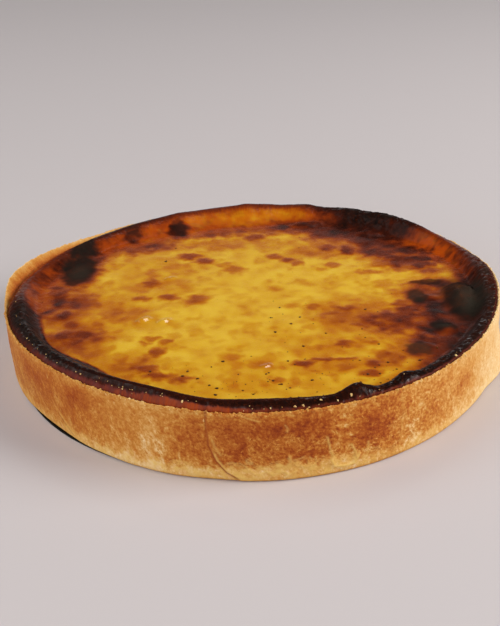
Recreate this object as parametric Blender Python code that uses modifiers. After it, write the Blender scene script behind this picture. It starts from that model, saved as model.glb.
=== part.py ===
# A baked custard flan: a short pastry shell, the set custard that fills it, whose
# skin has risen and burnt all round the edge, and the loose steel base of its tin.
# Metres, +Z up. The origin is under the shell's centre, on the surface it stands on.
# Angles are in degrees round +Z from +X: -90 is the front, 90 the back.

import bpy
import bmesh
import random
from math import atan2, cos, degrees, exp, hypot, pi, radians, sin

MM = 0.001

# Tin base: a thin loose disc that lies slightly off the shell's centre
TIN_RADIUS = 116.8 * MM
TIN_THICKNESS = 0.6 * MM
TIN_SHIFT = (-0.7 * MM, -0.3 * MM)
TIN_EDGE = 0.15 * MM

# Pastry shell
GAP = 0.3 * MM                      # between pieces that touch
RIM_RADIUS = 120 * MM
SHELL_HEIGHT = 31.4 * MM
FOOT_DRAFT = 0.3 * MM               # how much narrower the foot is than the rim
FOOT_ROUNDING = 1.6 * MM
SHELL_WALL = 5.0 * MM
SHELL_FLOOR = 3.5 * MM
FLOOR_CORNER = 2.0 * MM             # rounding between the inner wall and floor
WALL_BREAKS = (11 * MM, 21 * MM)    # heights over the foot where the wall's outer side bends
WALL_BELLY = 0.2 * MM
RIM_LIP = 0.8 * MM                  # bare pastry outside the skin
RIM_STEP = 1.7 * MM                 # how far under the lip's top the skin's seat starts
RIM_SEAT = 0.8 * MM                 # from the inner wall out to the start of that seat
FOOT_Z = TIN_THICKNESS + GAP
RIM_Z = FOOT_Z + SHELL_HEIGHT

# How far from round the shell is: waves per turn, cosine share, sine share
OUT_OF_ROUND = ((3, -0.011, 0.003), (4, 0.010, 0.0))

# The lip stands up and out at the back left
LIP_ANGLE = 169
LIP_RISE = 3.6 * MM
LIP_FLARE = 3.8 * MM
LIP_SPREAD = (24, 7)                # towards the back, towards the front

# Custard
CUSTARD_CENTRE = 27.0 * MM          # level over the foot, in the middle
CUSTARD_DISH = 1.1 * MM             # how much higher it is next to the ridge
RIDGE_CREST = 32.4 * MM             # over the foot, where the ridge is lowest
RIDGE_INSET = 4.5 * MM              # from the rim in to the crest
RIDGE_FOOT = 11 * MM                # from the rim in to where the ridge ends
BACK_SLOPE = 15 * MM                # how much wider the ridge is at the back
LEFT_SLOPE = 3.5 * MM               # and at the left
SKIN_INSET = 1.15 * MM              # from the rim in to the skin's edge
SKIN_THICKNESS = 0.8 * MM
SKIN_Z = RIM_Z + 0.4 * MM           # top of the skin's edge
SKIN_ROUNDING = 2.2                 # how round the ridge's outer side is
SKIN_PULL = 0.8                     # share of its lap that the skin loses at the raised lip

# Burnt domes on the custard: x, y, half length, half width, height, in mm
BLISTERS = (
    (103, -14, 9, 14, 5.4),
    (87, -48, 6, 6, 1.6),
    (73, -65, 7, 5, 1.3),
    (84, -13, 8, 4, 0.8),
    (-93, 50, 8, 20, 1.3),
    (-41, 91, 9, 6, 1.4),
    (33, 93, 12, 5, 1.2),
    (70, 76, 12, 8, 1.5),
)

# Where the ridge is higher: angle, spread on each side in degrees, rise in mm
RIDGE_RISES = (
    (-115, 25, 16, 3.3),
    (-88, 13, 13, 2.2),
    (-160, 22, 20, 1.6),
    (100, 35, 40, 0.9),
    (-70.5, 3.2, 3.2, 3.1),
    (-58.5, 3.0, 3.0, 2.2),
    (46, 5, 5, 1.2),
    (60, 6, 6, 1.0),
    (30, 5, 5, 0.7),
    (-176, 7, 7, 0.7),
)

# The joint of the pastry strip, down the wall: angle, height over the foot in mm
SEAM = ((-100.4, 33), (-100.4, 24), (-100.2, 16), (-99.0, 9), (-96.9, 3.4), (-94.6, 0.6))
SEAM_RADIUS = 0.75 * MM
SEAM_DEPTH = 0.6 * MM
SEAM_STEP = 0.5 * MM                # the outer strip's end stands proud
SEAM_FADE = 14

# The foot is lifted off the tin base at the left
LIFT_ANGLE = -152
LIFT_SPREAD = 7
LIFT_HEIGHT = 0.7 * MM

# Where the foot has spread or is tucked in: start, full, fading and end angle, mm out
FOOT_SPREADS = (
    (-29, -18, 2, 28, 3.4),
    (160, 188, 202, 216, -1.2),
)
SPREAD_HEIGHT = 20 * MM

STEPS = 108
TOP_RINGS = 22
RING_CROWDING = 2                   # rings of the custard's top crowd towards the rim
UNEVEN_WAVES = (5, 7, 11, 17, 23)
SHADE_ANGLE = 40


def clear_scene():
    for item in list(bpy.data.objects):
        bpy.data.objects.remove(item, do_unlink=True)


def make_collection(name):
    collection = bpy.data.collections.new(name)
    bpy.context.scene.collection.children.link(collection)
    return collection


def make_material(name, colour, roughness, metallic=0.0):
    material = bpy.data.materials.new(name)
    material.use_nodes = True
    shader = material.node_tree.nodes["Principled BSDF"]
    shader.inputs["Base Color"].default_value = (*colour, 1.0)
    shader.inputs["Roughness"].default_value = roughness
    shader.inputs["Metallic"].default_value = metallic
    material.diffuse_color = (*colour, 1.0)
    return material


def bell(angle, centre, before, after=None):
    """A bell curve round the turn, with a spread of its own on each side."""
    away = (angle - centre + 180) % 360 - 180
    spread = before if away < 0 else (after or before)
    return exp(-(away / spread) ** 2)


def smooth(value):
    value = min(max(value, 0.0), 1.0)
    return value * value * (3 - 2 * value)


def roundness(angle):
    turn = radians(angle)
    return 1 + sum(a * cos(n * turn) + b * sin(n * turn) for n, a, b in OUT_OF_ROUND)


def uneven(seed, size):
    """A slow wave round the turn, the same on each run."""
    draw = random.Random(seed)
    waves = [(n, draw.uniform(0, 2 * pi), size / n ** 0.5) for n in UNEVEN_WAVES]
    return lambda angle: sum(s * sin(n * radians(angle) + p) for n, p, s in waves)


def lip(angle):
    return bell(angle, LIP_ANGLE, *LIP_SPREAD)


def shell_profile():
    """From the middle of the inner floor out, over the rim and down to the underside."""
    rim, top, floor = RIM_RADIUS, RIM_Z, FOOT_Z + SHELL_FLOOR
    foot, turn, corner = rim - FOOT_DRAFT, FOOT_ROUNDING, FLOOR_CORNER
    inner = rim - SHELL_WALL
    low, high = WALL_BREAKS
    return (
        (0, floor),
        (inner - 0.9 * corner, floor),
        (inner - 0.3 * corner, floor + 0.4 * corner),
        (inner - 0.1 * corner, floor + corner),
        (inner, FOOT_Z + SHELL_HEIGHT / 2),
        (inner + 0.2 * MM, top - RIM_STEP - 0.6 * MM),
        (inner + RIM_SEAT, top - RIM_STEP),
        (rim - RIM_LIP - 0.6 * MM, top - 0.9 * MM),
        (rim - RIM_LIP, top - 0.3 * MM),
        (rim - RIM_LIP / 2, top),
        (rim - 0.1 * MM, top - 0.3 * MM),
        (rim, top - 1.3 * MM),
        (rim + WALL_BELLY, FOOT_Z + high),
        (rim - FOOT_DRAFT / 3, FOOT_Z + low),
        (foot, FOOT_Z + turn),
        (foot - 0.35 * turn, FOOT_Z + 0.3 * turn),
        (foot - turn, FOOT_Z),
        (0, FOOT_Z),
    )


def custard_profile():
    """From the middle of the top out to the skin's edge, in under it and down."""
    rim, floor, corner = RIM_RADIUS, FOOT_Z + SHELL_FLOOR + GAP, FLOOR_CORNER
    inner = rim - SHELL_WALL - GAP
    edge = rim - SKIN_INSET
    seat = RIM_Z - RIM_STEP + GAP
    rings = [(rim * (1 - (n / TOP_RINGS) ** RING_CROWDING), RIM_Z) for n in range(TOP_RINGS, 0, -1)]
    top = [(x, z) for x, z in rings if x < edge - 0.5 * MM]
    return (
        *top,
        (edge, SKIN_Z),
        (edge - 0.1 * MM, SKIN_Z - SKIN_THICKNESS),
        (edge - 0.6 * MM, RIM_Z - 0.55 * MM),
        (inner + RIM_SEAT + 0.2 * MM, seat + 0.1 * MM),
        (inner + 0.1 * MM, seat - 0.7 * MM),
        (inner - 0.05 * MM, FOOT_Z + SHELL_HEIGHT / 2),
        (inner - 0.12 * corner, floor + corner),
        (inner - 0.32 * corner, floor + 0.4 * corner),
        (inner - 0.9 * corner, floor),
        (0, floor),
    )


def turn_profile(name, profile, collection, material):
    """Turns a profile round +Z and returns it as a plain closed mesh object."""
    mesh = bpy.data.meshes.new(name + "_profile")
    mesh.from_pydata([(x, 0, z) for x, z in profile], [(i, i + 1) for i in range(len(profile) - 1)], [])
    outline = bpy.data.objects.new(name + "_profile", mesh)
    bpy.context.scene.collection.objects.link(outline)
    screw = outline.modifiers.new("turn", "SCREW")
    screw.axis = "Z"
    screw.angle = 2 * pi
    screw.steps = STEPS
    screw.render_steps = STEPS
    screw.use_merge_vertices = True
    screw.merge_threshold = 0.00001
    return bake(outline, name, collection, material)


def bake(source, name, collection, material=None):
    """Replaces an object by one that holds its evaluated mesh."""
    graph = bpy.context.evaluated_depsgraph_get()
    mesh = bpy.data.meshes.new_from_object(source.evaluated_get(graph))
    mesh.name = name
    piece = bpy.data.objects.new(name, mesh)
    piece.matrix_world = source.matrix_world
    collection.objects.link(piece)
    bpy.data.objects.remove(source, do_unlink=True)
    cage = bmesh.new()
    cage.from_mesh(mesh)
    bmesh.ops.remove_doubles(cage, verts=cage.verts, dist=0.00001)
    bmesh.ops.recalc_face_normals(cage, faces=cage.faces)
    cage.to_mesh(mesh)
    cage.free()
    if material:
        mesh.materials.clear()
        mesh.materials.append(material)
        mesh.shade_smooth()
        mesh.set_sharp_from_angle(angle=radians(SHADE_ANGLE))
    return piece


def reshape(piece, move):
    """Moves each vertex: move takes and gives radius, angle and height."""
    for vertex in piece.data.vertices:
        x, y, z = vertex.co
        angle = degrees(atan2(y, x))
        radius, height = move(hypot(x, y), angle, z)
        turn = radians(angle)
        vertex.co = (radius * cos(turn), radius * sin(turn), height)


def seam_step(angle):
    """How far the outer strip's end stands out of the wall."""
    past = (angle - SEAM[1][0]) % 360
    return SEAM_STEP * max(0.0, 1 - past / SEAM_FADE)


def foot_spread(angle, height):
    """How far the wall stands out at its foot, fading up the wall."""
    out = 0.0
    for start, full, fading, end, size in FOOT_SPREADS:
        past = (angle - start) % 360
        begins = smooth(past / (full - start))
        ends = smooth((past - (fading - start)) / (end - fading))
        out += size * MM * begins * (1 - ends)
    return out * smooth(1 - (height - FOOT_Z) / SPREAD_HEIGHT)


def make_shell(collection, cutters):
    material = make_material("pastry", (0.45, 0.14, 0.035), 0.75)
    shell = turn_profile("crust", shell_profile(), collection, material)
    wall_wave = uneven(11, 0.16 * MM)
    rim_wave = uneven(12, 0.22 * MM)
    crumble = random.Random(13)
    teeth = [crumble.uniform(-0.25, 0.25) * MM for _ in range(STEPS)]

    def move(radius, angle, height):
        tooth = teeth[round(angle / 360 * STEPS) % STEPS]
        on_lip = radius > RIM_RADIUS - RIM_LIP - 0.1 * MM and height > FOOT_Z + 4 * MM
        is_outer = radius > RIM_RADIUS - 4 * MM and height < RIM_Z - 1.1 * MM
        raised = smooth((height - FOOT_Z - 14 * MM) / (RIM_Z - FOOT_Z - 14 * MM))
        out, up = 0.0, 0.0
        if on_lip:
            out += LIP_FLARE * lip(angle) * raised
            up += LIP_RISE * lip(angle) * raised
            up += rim_wave(angle) * smooth((height - FOOT_Z - 20 * MM) / (10 * MM))
        if on_lip and height > RIM_Z - 0.5 * MM:
            up += tooth
        if is_outer:
            out += seam_step(angle) + wall_wave(angle) + foot_spread(angle, height)
        near_foot = radius > RIM_RADIUS - 6 * MM and height < FOOT_Z + 3 * MM
        if near_foot:
            up += LIFT_HEIGHT * bell(angle, LIFT_ANGLE, LIFT_SPREAD)
        return radius * roundness(angle) + out, height + up

    reshape(shell, move)
    cut_seam(shell, cutters)


def cut_seam(shell, cutters):
    """Cuts the groove along the strip's end, with a thin tube laid into the wall."""
    curve = bpy.data.curves.new("seam_tube", "CURVE")
    curve.dimensions = "3D"
    curve.bevel_depth = SEAM_RADIUS
    curve.bevel_resolution = 1
    curve.use_fill_caps = True
    line = curve.splines.new("POLY")
    line.points.add(len(SEAM) - 1)
    for point, (angle, height) in zip(line.points, SEAM):
        turn = radians(angle)
        draft = FOOT_DRAFT * smooth(1 - height * MM / WALL_BREAKS[0])
        radius = RIM_RADIUS * roundness(angle) - draft + SEAM_RADIUS - SEAM_DEPTH
        point.co = (radius * cos(turn), radius * sin(turn), FOOT_Z + height * MM, 1.0)
    tube = bpy.data.objects.new("seam_tube", curve)
    cutters.objects.link(tube)
    cutter = bake(tube, "seam_cutter", cutters)
    cutter.hide_render = True
    cutter.display_type = "WIRE"
    cut = shell.modifiers.new("seam", "BOOLEAN")
    cut.operation = "DIFFERENCE"
    cut.solver = "EXACT"
    cut.object = cutter


def dome(x, y):
    """Height of the burnt blisters over the custard."""
    height = 0.0
    for centre_x, centre_y, half_x, half_y, rise in BLISTERS:
        reach = hypot((x - centre_x * MM) / (half_x * MM), (y - centre_y * MM) / (half_y * MM))
        height = max(height, rise * MM * smooth(1.25 - 1.25 * reach))
    return height


def ridge(angle):
    """Crest height and the insets of the crest and of the foot, at an angle."""
    rises = sum(rise * MM * bell(angle, centre, before, after)
                for centre, before, after, rise in RIDGE_RISES)
    back = bell(angle, 92, 46)
    left = bell(angle, -165, 28)
    crest = RIDGE_CREST + rises - 0.6 * MM * lip(angle)
    inset = RIDGE_INSET + 0.5 * rises - 1.0 * MM * back + 1.5 * MM * left
    foot = RIDGE_FOOT + 0.5 * rises + BACK_SLOPE * back + LEFT_SLOPE * left
    return FOOT_Z + crest, inset, foot


def make_custard(collection):
    material = make_material("custard", (0.60, 0.31, 0.03), 0.3)
    custard = turn_profile("custard", custard_profile(), collection, material)
    crest_wave = uneven(21, 0.3 * MM)
    edge_wave = uneven(22, 0.1 * MM)

    def top_height(radius, angle):
        inset = RIM_RADIUS - radius
        x = radius * roundness(angle) * cos(radians(angle))
        y = radius * roundness(angle) * sin(radians(angle))
        level = FOOT_Z + CUSTARD_CENTRE + CUSTARD_DISH * (radius / RIM_RADIUS) ** 2
        crest, crest_inset, foot_inset = ridge(angle)
        crest += crest_wave(angle)
        if inset < crest_inset:
            rise = (crest_inset - inset) / (crest_inset - SKIN_INSET)
            return crest - (crest - SKIN_Z) * rise ** SKIN_ROUNDING
        fall = smooth((inset - crest_inset) / (foot_inset - crest_inset))
        return level + (crest - level) * (1 - fall) + dome(x, y)

    def move(radius, angle, height):
        is_top = height > RIM_Z - 0.1 * MM and radius < RIM_RADIUS - SKIN_INSET - 0.1 * MM
        if is_top:
            height = top_height(radius, angle)
        seat = RIM_RADIUS - SHELL_WALL + 0.6 * MM
        on_skin = radius > seat and height > RIM_Z - 1.5 * MM
        bare = smooth(2.2 * lip(angle))
        if on_skin:
            radius -= (radius - seat) * SKIN_PULL * bare
        if on_skin and height > RIM_Z + 0.3 * MM:
            radius += edge_wave(angle) * (1 - bare)
        return radius * roundness(angle), height

    reshape(custard, move)


def make_tin_base(collection):
    material = make_material("dark_steel", (0.012, 0.016, 0.014), 0.4, 0.8)
    mesh = bpy.data.meshes.new("tin_base")
    disc = bmesh.new()
    bmesh.ops.create_cone(disc, cap_ends=True, segments=96, radius1=TIN_RADIUS, radius2=TIN_RADIUS,
                          depth=TIN_THICKNESS)
    disc.to_mesh(mesh)
    disc.free()
    mesh.materials.append(material)
    base = bpy.data.objects.new("tin_base", mesh)
    base.location = (*TIN_SHIFT, TIN_THICKNESS / 2)
    collection.objects.link(base)
    edge = base.modifiers.new("edge", "BEVEL")
    edge.width = TIN_EDGE
    edge.segments = 1
    edge.limit_method = "ANGLE"
    mesh.shade_smooth()
    mesh.set_sharp_from_angle(angle=radians(SHADE_ANGLE))


def main():
    clear_scene()
    flan = make_collection("custard_flan")
    cutters = make_collection("cutters")
    make_tin_base(flan)
    make_shell(flan, cutters)
    make_custard(flan)


main()
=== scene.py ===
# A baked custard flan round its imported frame: the pastry shell, the custard with its
# burnt skin, and the crumbs, pastry flakes and vanilla specks that lie on them.
# Shapes are worked out in millimetres and end in metres, in the frame's own axes.
# Angles are degrees round +Z from +X: -90 is the front, 90 the back.

import random
from math import pi, radians

import bmesh
import bpy
import numpy as np
from mathutils import Matrix, Vector, noise


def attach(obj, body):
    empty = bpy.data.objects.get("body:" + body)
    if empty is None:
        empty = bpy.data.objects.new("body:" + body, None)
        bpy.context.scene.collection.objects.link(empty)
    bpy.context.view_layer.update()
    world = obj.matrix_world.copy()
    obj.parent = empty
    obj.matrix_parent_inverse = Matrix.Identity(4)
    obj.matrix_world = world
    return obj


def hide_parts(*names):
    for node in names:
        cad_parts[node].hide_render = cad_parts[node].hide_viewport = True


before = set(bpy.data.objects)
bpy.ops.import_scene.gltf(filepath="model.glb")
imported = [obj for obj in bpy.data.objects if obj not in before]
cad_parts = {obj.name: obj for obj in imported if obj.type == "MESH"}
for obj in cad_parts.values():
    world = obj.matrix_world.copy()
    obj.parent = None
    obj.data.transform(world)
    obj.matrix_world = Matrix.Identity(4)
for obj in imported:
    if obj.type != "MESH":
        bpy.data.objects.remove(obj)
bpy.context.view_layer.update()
mm = 0.001
print("frame loaded:", sorted(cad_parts))


def smooth(value):
    value = np.clip(value, 0.0, 1.0)
    return value * value * (3 - 2 * value)


def hump(distance, width):
    return np.exp(-(distance / width) ** 2)


def fadeIn(value, start, width):  # 0 up to the start, 1 a width later
    return smooth((value - start) / width)


def fadeOut(value, end, width):  # 1 until a width before the end, 0 from the end
    return smooth((end - value) / width)


def bell(angle, centre, before, after=None):
    away = (angle - centre + 180) % 360 - 180
    return hump(away, np.where(away < 0, before, after or before))


def uneven(angle, seed, size, waves=(5, 7, 11, 17, 23)):  # a slow wave round the turn
    draw = random.Random(seed)
    rows = [(n, draw.uniform(0, 2 * pi), size / n ** 0.5) for n in waves]
    return sum(s * np.sin(n * np.radians(angle) + p) for n, p, s in rows)


def fractal(points, size, seed, octaves=3):  # random relief, spread about 0.35 round 0
    moved = points / size + np.array((17.3, 5.9, 11.7)) * seed
    return np.array([noise.fractal(p, 0.7, 2.0, octaves) for p in moved.tolist()])


def thinLines(points, size, seed, width):  # curling lines where a random relief crosses 0
    return smooth(1 - np.abs(fractal(points, size, seed, 3)) / width)


def spotted(x, y, spots, soft, spread=1.0):  # how far inside an oval spot, times its amount
    total = np.zeros_like(x)
    for centreX, centreY, halfX, halfY, amount in spots:
        reach = np.hypot((x - centreX) / halfX, (y - centreY) / halfY) / spread
        total = np.maximum(total, amount * smooth((1 + soft - reach) / (2 * soft)))
    return total


def roundTurn(angle, table, column):  # a column of a table by angle, blended round the turn
    rows = sorted(table)
    return np.interp(angle, [r[0] for r in rows], [r[column] for r in rows], period=360)


def linear(*rgb):  # a screen colour of 0 to 255 as the shaders take it
    parts = [c / 255 for c in rgb]
    return (*[c / 12.92 if c <= 0.04045 else ((c + 0.055) / 1.055) ** 2.4 for c in parts], 1.0)


flan = {                         # what the shell and the custard share, in mm
    "rim": 120.0,
    "foot": 0.9,                 # height of the shell's underside
    "top": 32.3,                 # height of the rim
    "wall": 5.0,
    "floor": 3.5,
    "outOfRound": ((3, -0.011, 0.003), (4, 0.010, 0.0)),   # waves, cosine, sine
    "tinRadius": 116.8,          # the tin's loose base and its centre
    "tinX": -0.7,
    "tinY": -0.3,
    "lip": (169, 24, 12),        # the lip stands up and out here: angle, spread on each side
    "swell": (-1, 20, 13, 2.4),  # the rim is higher here: angle, spread on each side, rise
}


def roundness(angle):
    turn = np.radians(angle)
    return 1 + sum(a * np.cos(n * turn) + b * np.sin(n * turn) for n, a, b in flan["outOfRound"])


def lipShare(angle):
    return bell(angle, *flan["lip"])


def swellAt(angle):
    *where, rise = flan["swell"]
    return rise * bell(angle, *where)


def ringFaces(counts):
    # faces between closed rings of points; the next ring may have half or twice as many
    faces, start = [], 0
    for here, after in zip(counts, counts[1:]):
        below = start + here
        if here == after:
            for n in range(here):
                m = (n + 1) % here
                faces.append((start + n, start + m, below + m, below + n))
        elif after == 1:
            faces += [(start + n, start + (n + 1) % here, below) for n in range(here)]
        elif here == 1:
            faces += [(start, below + (n + 1) % after, below + n) for n in range(after)]
        else:
            few, many = min(here, after), max(here, after)
            fine, coarse = (start, below) if here == many else (below, start)
            for n in range(few):
                a, b, c = fine + 2 * n, fine + 2 * n + 1, fine + (2 * n + 2) % many
                d, e = coarse + n, coarse + (n + 1) % few
                faces += [(a, b, d), (b, e, d), (b, c, e)]
        start = below
    return faces


def spreadRings(rings):  # rings of (points, radius, height) as long arrays of angle, radius, height
    angle = np.concatenate([np.arange(n) / n * 360 - 180 for n, r, z in rings])
    radius = np.concatenate([np.full(n, float(r)) for n, r, z in rings])
    height = np.concatenate([np.full(n, float(z)) for n, r, z in rings])
    return angle, radius, height


def onTurn(angle, radius, height):
    turn = np.radians(angle)
    return np.stack([radius * np.cos(turn), radius * np.sin(turn), height], 1)


def addObject(name, data):
    added = bpy.data.objects.new(name, data)
    bpy.context.scene.collection.objects.link(added)
    return added


def makeMesh(name, points, faces, fields):
    mesh = bpy.data.meshes.new(name)
    mesh.from_pydata((points * mm).tolist(), [], faces)
    for field, values in fields.items():
        kind, key = ("FLOAT", "value") if values.ndim == 1 else ("FLOAT_VECTOR", "vector")
        layer = mesh.attributes.new(field, kind, "POINT")
        layer.data.foreach_set(key, values.astype(np.float32).ravel())
    cage = bmesh.new()
    cage.from_mesh(mesh)
    bmesh.ops.recalc_face_normals(cage, faces=cage.faces)
    cage.to_mesh(mesh)
    cage.free()
    mesh.shade_smooth()
    return addObject(name, mesh)


view = {
    "place": (-0.00252, -0.45625, 0.23660),
    "down": 25.62,               # degrees that it looks below the horizon
    "roll": -2.35,
    "lens": 57.51,
    "sensor": 36,
}


def makeCamera():
    data = bpy.data.cameras.new("camera")
    data.lens = view["lens"]
    data.sensor_width = view["sensor"]
    camera = addObject("camera", data)
    tilt = Matrix.Rotation(radians(90 - view["down"]), 4, "X")
    roll = Matrix.Rotation(radians(view["roll"]), 4, "Z")
    camera.matrix_world = Matrix.Translation(view["place"]) @ tilt @ roll
    bpy.context.scene.camera = camera


studio = {
    "floorSize": 30.0,
    "floorColour": (210, 203, 204),
    "floorRoughness": 0.9,
    "floorSpecular": 0.1,
    "sky": (222, 224, 228),
    "skyStrength": 0.12,
    # each lamp: place, width and height, energy in watts, colour
    "lamps": (
        ((1.75, -0.25, 1.00), (1.1, 1.1), 37.0, (1.0, 0.98, 0.95)),
        ((-1.20, -1.60, 1.30), (2.4, 2.4), 34.8, (1.0, 0.98, 0.97)),
        ((0.50, 1.90, 2.50), (0.36, 0.36), 2.6, (1.0, 0.98, 0.96)),
        ((-1.70, 0.45, 1.90), (1.6, 1.6), 17.0, (1.0, 0.97, 0.93)),
        ((0.00, 2.40, 0.62), (2.2, 0.70), 3.4, (1.0, 0.98, 0.97)),
    ),
    "aim": (0.0, 0.0, 0.02),
}


def makeStudio():
    scene = bpy.context.scene
    half = studio["floorSize"] / 2
    corners = [(-half, -half, 0), (half, -half, 0), (half, half, 0), (-half, half, 0)]
    mesh = bpy.data.meshes.new("floor")
    mesh.from_pydata(corners, [], [(0, 1, 2, 3)])
    material = bpy.data.materials.new("floor")
    material.use_nodes = True
    shader = material.node_tree.nodes["Principled BSDF"].inputs
    shader["Base Color"].default_value = linear(*studio["floorColour"])
    shader["Roughness"].default_value = studio["floorRoughness"]
    shader["Specular IOR Level"].default_value = studio["floorSpecular"]
    mesh.materials.append(material)
    floor = addObject("floor", mesh)

    world = bpy.data.worlds.new("studio")
    world.use_nodes = True
    sky = world.node_tree.nodes["Background"].inputs
    sky["Color"].default_value = linear(*studio["sky"])
    sky["Strength"].default_value = studio["skyStrength"]
    scene.world = world

    for number, (place, size, energy, colour) in enumerate(studio["lamps"]):
        data = bpy.data.lights.new(f"window{number}", "AREA")
        data.shape = "RECTANGLE"
        data.size, data.size_y = size
        data.energy = energy
        data.color = colour
        lamp = addObject(f"window{number}", data)
        lamp.location = place
        towards = Vector(studio["aim"]) - Vector(place)
        lamp.rotation_mode = "QUATERNION"
        lamp.rotation_quaternion = towards.to_track_quat("-Z", "Y")
    scene.view_settings.view_transform = "Standard"


makeCamera()
makeStudio()
print("camera, floor and light are set")


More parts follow.
